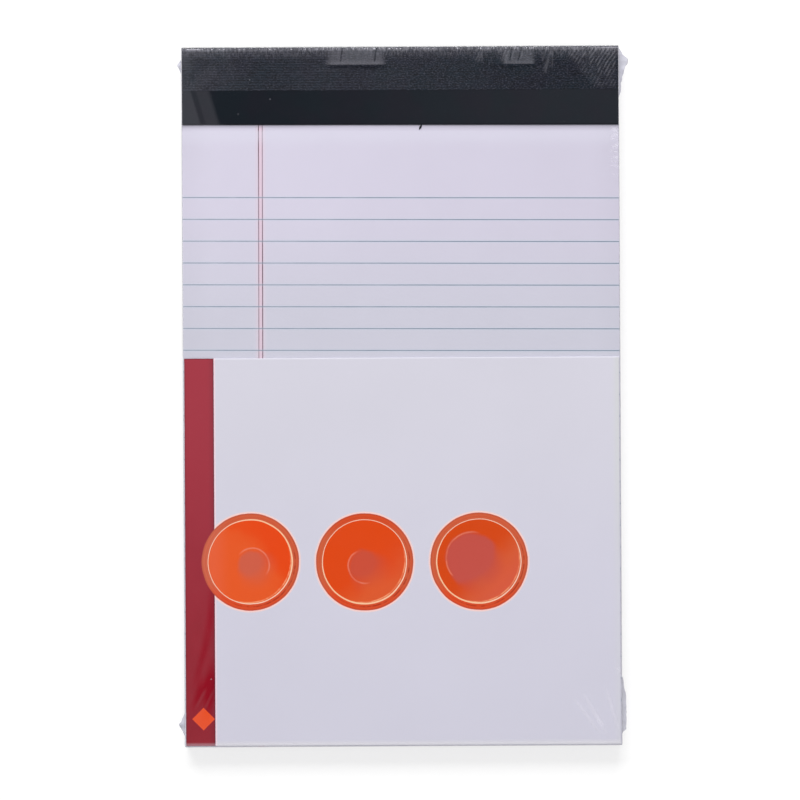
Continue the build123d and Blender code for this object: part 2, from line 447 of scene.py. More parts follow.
strip_creases = [
    ((24.0, 101.6), (22.3, 97.0), 0.24, 0.08),
    ((23.4, 99.6), (23.5, 97.0), 0.20, 0.06),
    ((22.6, 99.3), (21.4, 97.4), 0.22, 0.05),
    ((33.1, 101.6), (32.0, 97.8), 0.24, 0.09),
    ((35.7, 101.6), (34.6, 98.0), 0.24, 0.08),
    ((31.6, 100.9), (29.9, 97.2), 0.22, 0.06),
    ((30.3, 100.6), (28.9, 97.0), 0.24, 0.05),
    ((43.9, 101.6), (43.2, 99.0), 0.28, 0.08),
    ((43.2, 99.4), (41.3, 94.6), 0.28, 0.08),
    ((42.9, 97.8), (41.6, 93.6), 0.30, 0.06),
    ((44.0, 100.6), (43.8, 95.2), 0.22, 0.05),
    ((42.2, 101.2), (40.9, 97.2), 0.22, 0.04),
]
card_creases = [
    ((49.1, -88.0), (57.2, -98.8), 0.45, 0.05),
    ((52.0, -86.5), (59.1, -99.6), 0.50, 0.05),
    ((58.5, -85.0), (62.2, -97.7), 0.45, 0.05),
    ((55.7, -93.4), (57.6, -96.1), 0.35, 0.04),
    ((61.2, -78.8), (63.0, -81.1), 0.35, 0.04),
]
hatch_turn, hatch_pitch = math.radians(58), 1.0
hatch_y, hatch_slope, hatch_start = 101, 0.75, (46.0, 50.0)


def hatch(x, y):
    """The hatch at the right end: parallel ridges 1 mm apart, bent and broken by waves, in a soft patch."""
    across = x * math.sin(hatch_turn) - y * math.cos(hatch_turn) + 0.16 * waves(x, y, 9, seed=21)
    lines = (0.5 + 0.5 * np.cos(2 * np.pi * across / hatch_pitch)) ** 2
    patch = smooth(*hatch_start, x + hatch_slope * (y - hatch_y))
    patch = patch * smooth(62.6, 62.0, x) * smooth(88.6, 90.5, y)
    return lines * patch * (0.7 + 0.4 * waves(x, y, 5, seed=22))


def ear_reach(y, ears):
    """How far the side seam stands out at y: straight between each ear's (from the end, out) points."""
    reach = np.zeros_like(y)
    for end, along, outline in ears:
        from_end, out = np.array(outline).T
        reach += np.interp((y - end) * along, from_end, out)
    return reach


head_line, foot_line = film_high[1], film_low[1]
right_ears = [
    (head_line, -1, [
        (0.3, 0), (1.4, 0.7), (2.4, 1.15), (2.9, 1.9), (3.8, 2.55), (4.5, 2.85), (5.2, 2.5), (6.0, 2.05),
        (9.4, 1.1), (11.0, 0.6), (12.9, 0.7), (15.2, 0),
    ]),
    (foot_line, 1, [
        (2.9, 0), (3.7, 0.4), (4.2, 1.15), (9.0, 1.3), (15.0, 1.2), (15.7, 0.75), (19.0, 0.5), (20.0, 0),
    ]),
]
left_ears = [
    (head_line, -1, [(3.3, 0), (4.2, 0.75), (5.0, 1.25), (5.7, 0.8), (6.6, 0.45), (7.8, 0)]),
    (foot_line, 1, [(3.0, 0), (4.4, 0.6), (5.6, 1.3), (6.5, 1.95), (7.1, 1.2), (8.3, 0.8), (9.9, 0)]),
]

# %% [markdown]
# The ears are part of the same skin. Along the seam the rings are pulled out sideways by the ear's
# outline, less and less up and down the wall, which leaves a thin fin of doubled film. A few waves
# crumple it.

# %% The film
side_gap, film_rise = 0.17, 0.38
film_side = sheets_low[0] - side_gap, sheets_high[0] + side_gap
film_half = (film_side[1] - film_side[0]) / 2
film_shares = np.array([0, 0.012, 0.03, 0.055, 0.09, 0.14, 0.24, 0.5, 1.0])
columns = spaced(
    (film_side[0] + 0.9, 48.0, 0.9),
    (48.0, film_side[1] - 0.9, 0.3),
    *[(s - 9, s + 9, 0.6) for s in stitch_xs],
)
rows = spaced(
    (foot_line + 0.9, foot_line + 20, 0.7), (foot_line + 20, strip_low[1] - 2, 2.2),
    (strip_low[1] - 2, 88.0, 1.0), (88.0, head_line - 0.6, 0.32),
)
points, share, flatness, up = slab_rings(
    (film_side[0], foot_line, film_low[2]), (film_side[1], head_line, page_top + film_rise), 0.4,
    columns, rows, arc=4, wall_shares=film_shares, wall_rows=6,
)
x, y = points[..., 0].copy(), points[..., 1].copy()
tents = crown_tents(x, y, grow=0.35)
relief = 1.02 * tents + 0.022 * waves(x, y, 34, seed=30) + 0.044 * hatch(x, y)
relief = relief + sum(ridge(x, y, *crease) for crease in strip_creases + card_creases)
near_head = smooth(97.0, 101.3, y)
relief = relief + 0.022 * near_head * waves(3.2 * x, 0.4 * y, 3.0, seed=31)
points[..., 2] += np.clip(up, 0, 1) * flatness[:, None] * relief
pull = np.clip(1 - share / 0.14, 0, 1)[:, None]
for side, ears in ((-1, left_ears), (1, right_ears)):
    here = (np.sign(x - middle_x) == side) & (share[:, None] < 0.15)
    reach = ear_reach(y, ears) * (1 + 0.06 * waves(y, 0 * y, 2.1, seed=33 + side))
    seam = 0.10 + 0.05 * waves(y, 0 * y, 6.0, seed=36 + side)
    points[..., 0] += np.where(here, side * (reach * pull**0.9 + seam * pull), 0)
    crumple = waves(2 * x + y, y - x, 4.2, seed=40 + side)
    points[..., 2] += np.where(here, 0.42 * np.clip(reach / 1.5, 0, 1) * pull * crumple, 0)
shrink_film = make_piece("clear_shrink_film", points, slab_faces(points), "shrink_film")

# %% [markdown]
# ## Shader maths in plain expressions
# Every finish below is a sum of masks: a rule is the distance to the nearest line, a roundel is the
# distance to its centre. `Value` wraps one output socket and overloads the operators, so that such a
# sum can be written as it would be on paper. `Nodes.node` makes any other node, for the sky as well.

# %% Values and node trees
class Value:
    """A number that changes over a surface: one socket, with the operators that add Math nodes."""

    def __init__(self, nodes, socket):
        self.nodes, self.socket = nodes, socket

    def __add__(self, other):
        return self.nodes.math("ADD", self, other)

    def __sub__(self, other):
        return self.nodes.math("SUBTRACT", self, other)

    def __rsub__(self, other):
        return self.nodes.math("SUBTRACT", other, self)

    def __mul__(self, other):
        return self.nodes.math("MULTIPLY", self, other)

    def __truediv__(self, other):
        return self.nodes.math("DIVIDE", self, other)

    def __pow__(self, other):
        return self.nodes.math("POWER", self, other)

    def __abs__(self):
        return self.nodes.math("ABSOLUTE", self)

    __radd__, __rmul__ = __add__, __mul__


class Nodes:
    """A shader's node tree, and the calls that fill it."""

    def __init__(self, tree):
        self.tree = tree
        tree.nodes.clear()

    def node(self, kind, settings=None, inputs=None):
        """A node of any kind: its settings are set first, then its sockets get numbers, colours or links."""
        made = self.tree.nodes.new("ShaderNode" + kind)
        for key, value in (settings or {}).items():
            setattr(made, key, value)
        for key, value in (inputs or {}).items():
            value = value.socket if isinstance(value, Value) else value
            if isinstance(value, bpy.types.NodeSocket):
                self.tree.links.new(value, made.inputs[key])
            else:
                made.inputs[key].default_value = value
        return made

    def math(self, operation, *values):
        """The result of one Math node."""
        made = self.node("Math", {"operation": operation}, dict(enumerate(values)))
        return Value(self, made.outputs[0])


def ink(red, green, blue):
    """A printed colour, given in the usual 0 to 255 steps, as the linear colour that a shader takes."""
    steps = np.array([red, green, blue]) / 255
    linear = np.where(steps <= 0.04045, steps / 12.92, ((steps + 0.055) / 1.055) ** 2.4)
    return (*linear.tolist(), 1.0)


# %% Finishes
class Finish(Nodes):
    """One material's nodes, with the place on the pad ready as x, y and z in millimetres."""

    def __init__(self, name):
        self.material = bpy.data.materials.new(name)
        self.material.use_nodes = True
        super().__init__(self.material.node_tree)
        place = {0: self.node("TexCoord").outputs["Object"], "Scale": 1 / MM}
        self.place = self.node("VectorMath", {"operation": "SCALE"}, place).outputs[0]
        split = self.node("SeparateXYZ", {}, {0: self.place})
        self.x, self.y, self.z = (Value(self, part) for part in split.outputs)

    def step(self, value, low, high):
        """0 where value is below low, 1 above high, an S-shaped step between. With high below low it falls."""
        if low > high:
            return 1 - self.step(value, high, low)
        settings = {"interpolation_type": "SMOOTHSTEP"}
        return Value(self, self.node("MapRange", settings, {0: value, 1: low, 2: high}).outputs[0])

    def x_step(self, low, high):
        """The same step of the place across the pad."""
        return self.step(self.x, low, high)

    def y_step(self, low, high):
        """The same step of the place up the pad."""
        return self.step(self.y, low, high)

    def between(self, value, rise_from, rise_to, fall_from, fall_to):
        """A step up and then a step down."""
        return self.step(value, rise_from, rise_to) * self.step(value, fall_to, fall_from)

    def far_from(self, middle):
        """The distance over the pad from a point, in millimetres."""
        return self.math("SQRT", (self.x - middle[0]) ** 2.0 + (self.y - middle[1]) ** 2.0)

    def speckle(self, scale, detail=2.0, stretch=(1, 1, 1), rough=0.5, seed=0.0):
        """Noise about 0.5, scale features to the millimetre, stretched along the axes by the given factors."""
        place = self.node("Mapping", {}, {0: self.place, 1: (seed, seed * 0.37, 0), 3: stretch}).outputs[0]
        inputs = {"Vector": place, "Scale": scale, "Detail": detail, "Roughness": rough}
        return Value(self, self.node("TexNoise", {"noise_dimensions": "3D"}, inputs).outputs[0])

    def mix(self, share, first, second):
        """The first colour where share is 0, and the second where it is 1."""
        return self.node("Mix", {"data_type": "RGBA"}, {0: share, 6: first, 7: second}).outputs[2]

    def layers(self, colour, *coats):
        """A colour under coats of ink, laid on in order. A coat is its share and its ink's three steps."""
        for share, *steps in coats:
            colour = self.mix(share, colour, ink(*steps))
        return colour

    def shade(self, colour, amount):
        """A colour made lighter or darker by a factor that changes over the surface."""
        grey = self.node("CombineColor", {}, {0: amount, 1: amount, 2: amount}).outputs[0]
        settings = {"data_type": "RGBA", "blend_type": "MULTIPLY"}
        return self.node("Mix", settings, {0: 1.0, 6: colour, 7: grey}).outputs[2]

    def bump(self, height, distance, strength):
        """A normal from a height that changes over the surface, distance in millimetres."""
        inputs = {"Height": height, "Distance": distance * MM, "Strength": strength}
        return self.node("Bump", {}, inputs).outputs[0]

    def paint(self, inputs):
        """Ends the finish in a Principled shader with these inputs."""
        return self.end(self.node("BsdfPrincipled", {}, inputs).outputs[0])

    def end(self, shader):
        """Ends the finish in any shader, and gives the material."""
        self.node("OutputMaterial", {}, {0: shader})
        print(f"finish {self.material.name}: {len(self.tree.nodes)} nodes")
        return self.material


def dress(piece, material):
    """Gives a piece one material in place of whatever it had."""
    piece.data.materials.clear()
    piece.data.materials.append(material)


# %% [markdown]
# ## White paper and its ruling
# The page is bluish white bond with a faint mottle of fibres. The ruling is printed a little askew on
# the sheet, by a third of a degree, as cut pads often are: thin grey-blue rules a quarter inch apart,
# and a margin of two fine plum lines with a pink tint between them. Each line is a mask of the
# distance to it. Painted shade darkens the page towards the foot, towards the right in its upper part
# and along its sides near the top. Close under the strip a painted shadow darkens it, and a little
# lower a faint painted highlight lightens it.

# %% The ruled page's finish
print_lean = math.radians(-0.31)
rule_pitch, first_rule, last_rule, rule_slip = 6.35, 57.78, -93.2, 0.0008
margin_lines, margin_pivot, margin_slip = (-42.10, -40.98), 45.5, 0.0022
strip_line, strip_slip = head - front_depth, 0.004
# The second colour is the paper in painted shade, used towards the foot.
paper_white, paper_in_painted_shade = ink(214, 209, 227), ink(204, 203, 217)


def above_strip_line(finish):
    """How far a place lies above the strip's lower edge, which isn't quite square to the pad."""
    return finish.y + finish.x * strip_slip - strip_line


def bond_paper(name):
    """Bond paper: a pale colour with soft clouds and fine fibres, and a tooth that shows at a low angle."""
    finish = Finish(name)
    clouds = finish.speckle(0.05, seed=3.0)
    fibres = finish.speckle(2.6, 3.0, stretch=(1, 0.45, 1), seed=9.0)
    tone = 0.966 + clouds * 0.05 + fibres * 0.022
    return finish, tone, finish.bump(fibres, 0.012, 0.5)


page, tone, tooth = bond_paper("white_bond_ruled")
print_x = page.x * math.cos(print_lean) + page.y * math.sin(print_lean)
print_y = page.y * math.cos(print_lean) - page.x * math.sin(print_lean)
off_rule = page.math("PINGPONG", print_y + page.x * rule_slip - first_rule, rule_pitch / 2)
faint = page.speckle(0.8, stretch=(0.3, 1, 1), seed=5.0)
ruled = page.between(print_y, last_rule - 0.5, last_rule, first_rule + 0.5, first_rule + 1)
rules = page.step(off_rule, 0.17, 0.09) * ruled * (0.58 + faint * 0.5 + page.x_step(-45.0, 50.0) * 0.25)
around_rules = page.step(off_rule, 0.75, 0.25) * ruled * 0.16
low_share = page.y_step(62.0, 14.0)
margin_x = print_x + (print_y - margin_pivot) * margin_slip
shares = (
    0.78 - low_share * 0.2 + page.y_step(58.0, 80.0) * 0.26,
    0.67 + page.y_step(66.0, 40.0) * 0.26,
)
margin = sum(page.step(abs(margin_x - at), 0.17, 0.10) * share for at, share in zip(margin_lines, shares))
margin = margin * (0.82 + page.speckle(0.7, 1.0, stretch=(1, 0.2, 1), seed=6.0) * 0.3)
off_margin = abs(margin_x - sum(margin_lines) / 2)
# Painted shade: the page darkens towards the right in its upper part, and along both sides, most near the top.
corners = page.step(abs(page.x), 54.0, 63.0) * (0.035 + page.y_step(58.0, 79.0) * 0.03)
tone = tone * (1.01 - page.x_step(-55.0, 50.0) * (1 - low_share) * 0.045 - corners)
off_strip = above_strip_line(page)
# Painted shadow close under the strip's lower edge, darkest right at the edge.
painted_strip_shadow = page.step(off_strip, -1.9, -0.4) * (0.10 + page.x_step(-20.0, 45.0) * 0.12)
painted_strip_shadow = painted_strip_shadow + page.step(off_strip, -1.2, -0.6) * (0.08 + page.x_step(-10.0, -40.0) * 0.14)
painted_strip_shadow = painted_strip_shadow + page.step(off_strip, -0.8, 0.2) * 0.35
colour = page.layers(
    page.shade(page.mix(low_share, paper_white, paper_in_painted_shade), tone),
    (page.step(off_margin, 2.1, 0.7) * 0.3, 235, 206, 220),
    (page.step(off_margin, 0.85, 0.5) * 0.2, 242, 172, 192),
    (margin, 84, 52, 74),
    (around_rules, 190, 210, 226),
    (rules, 124, 140, 158),
    # A faint painted highlight on the page a little below the strip.
    (page.between(off_strip, -7.0, -3.0, -2.2, -1.2) * 0.3, 226, 225, 240),
    (painted_strip_shadow, 110, 110, 122),
)
dress(ruled_page, page.paint({"Base Color": colour, "Roughness": 0.72, "Normal": tooth, "IOR": 1.4}))

# %% [markdown]
# The cut edges of the stack are the same paper, with each sheet a slightly different tone, and painted
# shade in the groove between each two sheets.

# %% The stack's finish
edge, tone, tooth = bond_paper("white_bond_edges")
layer = edge.math("FLOOR", (edge.z - sheets_low[2]) / SHEET)
layer_tone = edge.node("TexWhiteNoise", {"noise_dimensions": "1D"}, {"W": layer}).outputs[0]
groove = edge.math("PINGPONG", edge.z - sheets_low[2], SHEET / 2) / (SHEET / 2)
# Besides each sheet's own tone, the edge is darker at the groove between sheets: painted shade.
tone = tone * (0.90 + Value(edge, layer_tone) * 0.09) * (0.86 + edge.step(groove, 0.0, 0.35) * 0.14)
colour = edge.shade(paper_white, tone)
dress(page_stack, edge.paint({"Base Color": colour, "Roughness": 0.8, "Normal": tooth}))

# %% [markdown]
# ## Chipboard
# The board behind the pad is grey chipboard, pressed from waste paper: a warm grey with long pale and
# dark fibres and small flecks. The solid's own shape is right, so it only gets the finish.

# %% The backing board's finish
board = Finish("grey_chipboard")
pulp = board.speckle(0.35, 5.0, seed=1.0)
fibres = board.speckle(1.4, 4.0, stretch=(0.35, 1.6, 1), seed=7.0)
flecks = board.step(board.speckle(2.4, stretch=(1, 0.7, 1), seed=11.0), 0.66, 0.74)
pale = board.step(board.speckle(1.7, seed=15.0), 0.68, 0.76)
colour = board.layers(
    ink(166, 158, 148),
    (pulp * 0.9, 184, 176, 165),
    (board.step(fibres, 0.55, 0.8) * 0.5, 140, 131, 120),
    (flecks * 0.6, 96, 88, 82),
    (pale * 0.5, 208, 202, 193),
)
grain = board.bump(pulp + fibres * 0.6, 0.03, 0.6)
board_colour = {"Base Color": colour, "Roughness": 0.85, "Normal": grain}
dress(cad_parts["backing_board"], board.paint(board_colour))

# %% [markdown]
# ## Stitching wire
# The stitches are thin drawn steel wire. Only the clinched ends and the legs could ever be seen, with
# the strip lifted, but they get their metal all the same, with fine lines drawn along them.

# %% The wire's finish
wire = Finish("drawn_steel_wire")
drawn = wire.speckle(9.0, stretch=(0.08, 1, 1), seed=2.0)
steel = {
    "Base Color": wire.shade(ink(200, 200, 204), 0.88 + drawn * 0.2),
    "Metallic": 1.0,
    "Roughness": 0.28 + drawn * 0.16,
    "Normal": wire.bump(drawn, 0.01, 0.5),
}
wire_metal = wire.paint(steel)
for name in ("staple_left", "staple_right"):
    dress(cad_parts[name], wire_metal)

# %% [markdown]
# ## The strip's black paper
# The strip is a charcoal paper with a slightly waxed face. The rolled zone has a fine woven-looking
# grain from the rollers, with stripes along its ribs and pale flecks that are partly that grain and partly
# a painted sheen, so it is a touch paler than the smooth flap below it, where the colour is deepest.

# %% The strip's finish
strip = Finish("charcoal_strip_paper")
zone = strip.y_step(zone_y - 0.15, zone_y + 0.15)
grain = strip.speckle(2.4, stretch=(0.75, 1.7, 1), rough=0.7, seed=4.0)
threads = strip.speckle(1.3, stretch=(0.5, 2.0, 1), seed=8.0)
woven = strip.step(threads, 0.3, 0.7)
furrow = strip.math("PINGPONG", strip.y - zone_y, rib_pitch / 2) / (rib_pitch / 2)
tint = strip.speckle(0.12, seed=13.0)
depth = 0.72 + grain * 0.22 + threads * 0.18 - strip.step(above_strip_line(strip), 0.59, 0.24) * 0.3
# The stripes along the ribs and the pale flecks below are partly the rolled grain and partly a painted sheen.
depth = depth + zone * (woven * 0.9 + furrow * 0.6 - 0.55)
colour = strip.layers(ink(13, 23, 32), (strip.step(tint, 0.35, 0.65), 18, 21, 32))
flecks_and_sheen = strip.step(grain, 0.5, 0.68)
flecks_and_sheen = flecks_and_sheen + strip.x_step(0.0, -25.0) * woven * 0.4 * (furrow - 0.36 - flecks_and_sheen)
flecks_and_sheen = flecks_and_sheen * zone * (0.85 + strip.y_step(zone_y + 0.9, zone_y) * 0.15)
height = grain * (0.3 + zone * 0.7) + threads * zone * 0.8
strip_inputs = {
    "Base Color": strip.layers(strip.shade(colour, depth), (flecks_and_sheen, 72, 73, 85)),
    "Roughness": 0.66 + grain * 0.14,
    "Specular IOR Level": 0.12,
    "Normal": strip.bump(height, 0.04, 0.9),
}
strip_paper = strip.paint(strip_inputs)
dress(binding_strip, strip_paper)
dress(shred, strip_paper)

# %% [markdown]
# ## The card's print
# The card is coated white stock with a dark red band down its left side and a small orange lozenge near
# the foot of the band. Ink is a little uneven, and deeper at its edges. Painted shade darkens the stock
# towards the foot and a little towards the right. Painted highlights lighten it along its foot and along
# its top edge, where the light line is partly the white of the cut.

# %% The card's stock and band
card = Finish("printed_card_stock")
clouds = card.speckle(0.035, seed=21.0)
# The tone carries painted shade: the stock is darker towards the foot and a little towards the right.
tone = 0.962 + clouds * 0.05 + card.y_step(-100.0, 12.0) * 0.032 - card.x_step(0.0, 62.0) * 0.007
tone = tone + card.y_step(-35.0, 10.0) * card.x_step(30.0, 60.0) * 0.022
warm = card.x_step(card_high[0] - 2.4, card_high[0] - 0.5) * (0.25 + card.y_step(-60.0, -10.0) * 0.45)
# The light line along the top edge is partly the card's white cut core and partly a painted highlight.
top_edge = card.y_step(card_high[1] - 0.3, card_high[1] - 0.2)
stock = card.layers(
    card.shade(card.layers(ink(214, 212, 224), (card.y_step(0.0, -60.0), 214, 212, 227)), tone),
    (warm, 215, 216, 218),
    # A painted highlight along the card's foot.
    (card.y_step(card_low[1] + 1.7, card_low[1] + 0.3) * 0.7, 222, 221, 225),
    (top_edge, 228, 227, 238),
)
band_edge = -55.15
band = card.x_step(band_edge + 0.1, band_edge - 0.1)
fringe = card.x_step(band_edge + 0.6, band_edge + 0.25) * (1 - band)
uneven = card.step(card.speckle(0.16, stretch=(1, 0.5, 1), seed=17.0), 0.3, 0.7)
red = card.layers(
    ink(144, 4, 28),
    (uneven, 150, 12, 34),
    (card.y_step(-95.0, 5.0), 162, 28, 48),
    (card.x_step(band_edge - 1.9, band_edge - 0.2) * 0.3, 96, 10, 36),
    (card.x_step(band_edge - 0.45, band_edge - 0.1) * 0.6, 78, 10, 40),
    (top_edge * 0.75, 96, 10, 30),
    (card.x_step(card_low[0] + 0.7, card_low[0] + 0.1) * 0.4, 104, 12, 28),
)
lozenge_at, lozenge_half = (-58.6, -93.6), 3.3
lozenge_off = abs(card.x - lozenge_at[0]) + abs(card.y - lozenge_at[1])
lozenge = card.step(lozenge_off, lozenge_half + 0.1, lozenge_half - 0.1)
colour = card.mix(band, card.layers(stock, (fringe * 0.85, 246, 216, 226)), red)
colour = card.layers(colour, (lozenge, 236, 78, 24))

# %% [markdown]
# Three orange roundels stand in a row, each with a fine cream ring inside its rim, and lie on the band
# where they meet it. Inside the ring the ink is brighter to one side, and duller in a patch near the
# middle. The table has one row to a property, with its value for the left, the middle and the right
# roundel. A way is a direction over the card, and a flush or share is how strongly a coat covers.

# %% The roundels
disc_radius, ring_radius = 14.17, 12.3
roundel_rows = {
    "middle": ((-44.74, -48.0), (-11.50, -48.14), (21.78, -48.1)),
    "red": (234, 226, 216),
    "bright_way": ((-0.75, -0.66), (0.45, -0.9), (0.7, -0.7)),
    "bright_from": (-0.5, 0.25, 0.05),
    "flush": (0.0, 0.2, 0.7),
    "top_flush": (0.1, 0.85, 0.1),
    "dull_off": ((0.55, -0.9), (0.1, -1.3), (-2.0, 0.9)),
    "dull_radius": (4.9, 4.9, 7.6),
    "dull_share": (0.7, 0.6, 0.88),
    "dull_ink": ((200, 97, 80), (193, 83, 70), (196, 82, 74)),
    "arc_way": ((0.6, 0.8), (-0.9, -0.3), (-0.96, 0.28)),
    "ring_way": ((0.75, 0.65), (-0.3, -0.95), (-0.7, -0.7)),
}


def along_way(way, middle):
    """How far a place lies from a middle point the given way, in millimetres; less than 0 on its other side."""
    return (card.x - middle[0]) * way[0] + (card.y - middle[1]) * way[1]


for number in range(3):
    roundel = {key: row[number] for key, row in roundel_rows.items()}
    middle, dull_off, dull_radius = roundel["middle"], roundel["dull_off"], roundel["dull_radius"]
    off_x, off_y = card.x - middle[0], card.y - middle[1]
    wobble = (card.speckle(0.25, 1.0, seed=30.0 + number) - 0.5) * 0.2
    distance = card.far_from(middle) + wobble
    disc = card.step(distance, disc_radius + 0.12, disc_radius - 0.12)
    low_right = card.step(along_way((0.7, -0.7), middle), -1.0, 11.0)
    blush = card.speckle(0.11, 3.0, seed=50.0 + number)
    bright_place = along_way(roundel["bright_way"], middle) / ring_radius + (blush - 0.5) * 1.2
    bright = card.step(bright_place, roundel["bright_from"] - 0.15, roundel["bright_from"] + 0.65)
    dull_middle = (middle[0] + dull_off[0], middle[1] + dull_off[1])
    from_dull = card.far_from(dull_middle) + wobble * 2.0
    softness = 0.8 + card.step(off_x - off_y, -2.0, 8.0) * 3.2
    dull = card.step((from_dull + (blush - 0.5) * 4.0 - dull_radius) / softness, 0.9, -1.1)
    arc_side = along_way(roundel["arc_way"], dull_middle) / dull_radius
    arc = card.step(abs(from_dull - dull_radius), 0.36, 0.05) * card.step(arc_side, -0.1, 0.5)
    arc = arc * card.step(blush, 0.38, 0.54)
    inner = card.layers(
        ink(roundel["red"], 71, 8),
        (bright, roundel["red"], 90, 35),
        (low_right * roundel["flush"], 220, 92, 70),
        (dull * roundel["dull_share"], *roundel["dull_ink"]),
        (arc * 0.5, 242, 148, 124),
    )
    rim = card.layers(
        ink(212, 97, 62),
        (card.step(off_y, -5.0, -11.0), 228, 76, 32),
        (card.step(off_y, 6.0, 12.5) * roundel["top_flush"], 218, 74, 30),
        (low_right * 0.4, 204, 80, 48),
        (card.step(distance, disc_radius - 0.7, disc_radius - 0.2) * 0.4, 174, 70, 42),
    )
    streak = card.step(card.speckle(0.5, seed=40.0 + number), 0.42, 0.6) * low_right
    seam = card.step(abs(distance - ring_radius - 0.75), 0.3, 0.05) * (0.15 + streak * 0.55)
    swell = card.step(along_way(roundel["ring_way"], middle) / ring_radius, -0.1, 0.9)
    half_width = 0.07 + swell * 0.09 + low_right * 0.05
    ring = card.step(abs(distance - ring_radius + low_right * 0.15) - half_width, 0.1, -0.06)
    inner_line = card.far_from((middle[0] - 0.55, middle[1] + 0.5)) + wobble
    ring_inside = card.step(abs(inner_line - ring_radius), 0.26, 0.06) * card.step(low_right, 0.35, 0.8)
    body = card.layers(
        card.mix(card.step(distance, ring_radius - 0.1, ring_radius + 0.15), inner, rim),
        (seam, 150, 36, 16),
        (ring_inside * (0.3 + streak * 0.5), 252, 170, 124),
    )
    body = card.mix(ring * 0.95, body, card.layers(ink(255, 218, 194), (swell, 255, 206, 164)))
    lip = card.step(distance, disc_radius + 0.7, disc_radius + 0.2) * (1 - disc)
    colour = card.mix(disc, card.layers(colour, (lip * 0.95 * (1 - band), 255, 214, 206)), body)
coat = card.speckle(0.5, seed=61.0)
card_inputs = {
    "Base Color": colour,
    "Roughness": 0.42 + coat * 0.08,
    "Specular IOR Level": 0.1,
    "Normal": card.bump(coat, 0.01, 0.3),
}
dress(insert_card, card.paint(card_inputs))

# %% [markdown]
# ## The film's clear plastic
# Clear film shows what is under it, with a gloss that grows at a low angle, and a thin milky haze
# where it stands off the paper or is creased. The haze is a share of pale grey that follows places on
# the pad. On the smooth flap there is nearly none, but for slanted bands at its left end. Over the
# rolled zone there is more, with a crinkled fringe, a painted highlight just inside the head, and
# glints along it. On each tent the slope towards the lamp gets a painted highlight, brightest along
# the ridge, with painted shade in its creases and just below the crown.

# %% Haze over the strip, with painted highlights and shade on its tents
film = Finish("clear_shrink_plastic")


def along_line(start, end, width, soft=0.2, fade=0.15):
    """1 near a line between two points on the film, fading with the distance from it and past both ends."""
    (ax, ay), (bx, by) = start, end
    length = math.hypot(bx - ax, by - ay)
    ux, uy = (bx - ax) / length, (by - ay) / length
    run = (film.x - ax) * ux + (film.y - ay) * uy
    off = abs((film.x - ax) * -uy + (film.y - ay) * ux)
    ends = film.step(run, -0.1 * length, fade * length) * film.step(run, 1.1 * length, (0.95 - fade) * length)
    return film.step(off, width + soft, width * 0.3) * ends


on_strip = film.step(above_strip_line(film), 0.15, 0.4)
on_zone = film.y_step(zone_y - 0.2, zone_y + 0.2)
patches = film.speckle(0.09, seed=70.0)
slant = film.x + (film.y - zone_y) * 0.30
bands = film.step(slant, -61.1, -61.9) * 0.028 + film.step(slant, -55.4, -56.3) * 0.018
bands = bands + film.step(abs(slant + 58.2), 2.1, 1.3) * 0.012
flap_haze = film.x_step(-55.0, 63.0) * 0.0125 + patches * 0.003 + bands
swirl = film.step(film.speckle(0.3, stretch=(1, 0.6, 1), seed=88.0), 0.35, 0.65)
left_end = film.x_step(-42.0, -62.0) * (0.007 + swirl * 0.016) + film.x_step(-60.0, -63.6) * 0.016
zone_haze = (0.006 + patches * 0.013) * (1 - film.x_step(8.0, 46.0) * 0.75) + left_end
crinkle = film.speckle(1.5, stretch=(1.5, 0.42, 1), rough=0.65, seed=72.0)
near_head = film.y_step(head_line - 4.3, head_line - 0.6)
fringe = near_head * (0.017 + film.step(crinkle, 0.41, 0.63) * 0.088) * (0.6 + patches * 0.8)
# A painted highlight just inside the head edge, where the film turns over it.
head_edge_highlight = film.y_step(head_line - 1.75, head_line - 0.6) * (0.07 + film.step(crinkle, 0.3, 0.7) * 0.09)
head_edge_highlight = head_edge_highlight * film.y_step(head_line - 0.3, head_line - 0.45)
edge_noise = film.speckle(3.8, 1.0, stretch=(1, 0.1, 0.1), seed=74.0)
dots = film.step(edge_noise, 0.61, 0.66) * (0.15 + patches) * film.x_step(42.0, 38.0)
dots = dots + film.between(film.x, -63.0, -61.6, -59.2, -57.6) * 0.4
glints = film.step(abs(film.y - head_line + 0.7), 0.2, 0.06) * (dots + film.x_step(54.0, 61.0) * 0.2)
zone_haze = zone_haze + fringe + head_edge_highlight + glints

# Painted highlight on each tent's slope towards the lamp, brightest along the ridge; painted shade in the
# creases and just below the crown.
above_crown = film.y - crown_y
tented = sum(
    film.between(film.x, s - left - soft, s - left + soft, s + right - soft, s + right + soft) * share
    for s, left, right, soft, share in zip(stitch_xs, (9.0, 3.9), (7.4, 4.9), (1.5, 0.9), (0.95, 0.82))
)
folded = sum(
    film.step(abs(film.x - at - above_crown * lean), 0.32, 0.08) for at, lean in zip(crease_xs, crease_leans)
)
folded = folded * film.step(above_crown, 0.2, 1.0)
painted_ridge_highlight = film.step(above_crown, 1.4, 0.1) * (0.03 + crinkle * 0.03)
painted_shade_below_tents = tented * film.between(above_crown, -2.0, -1.2, -0.6, -0.3)
tented = tented * film.step(above_crown, -0.45, -0.15) * (0.044 + crinkle * 0.075 + painted_ridge_highlight)
tented = tented * (1 - folded * 0.75)
zone_haze = film.math("MAXIMUM", zone_haze * (1 - folded * 0.5), tented + zone_haze * 0.3)
zone_haze = zone_haze * (1 - painted_shade_below_tents * 0.75)
zone_haze = zone_haze + along_line((-23.8, 94.9), (-15.0, 95.2), 0.15, 0.3) * 0.014

# %% [markdown]
# At the right end the film's hatch shows as streaks, finest along the head, and the creases modelled
# above each carry a pale line.

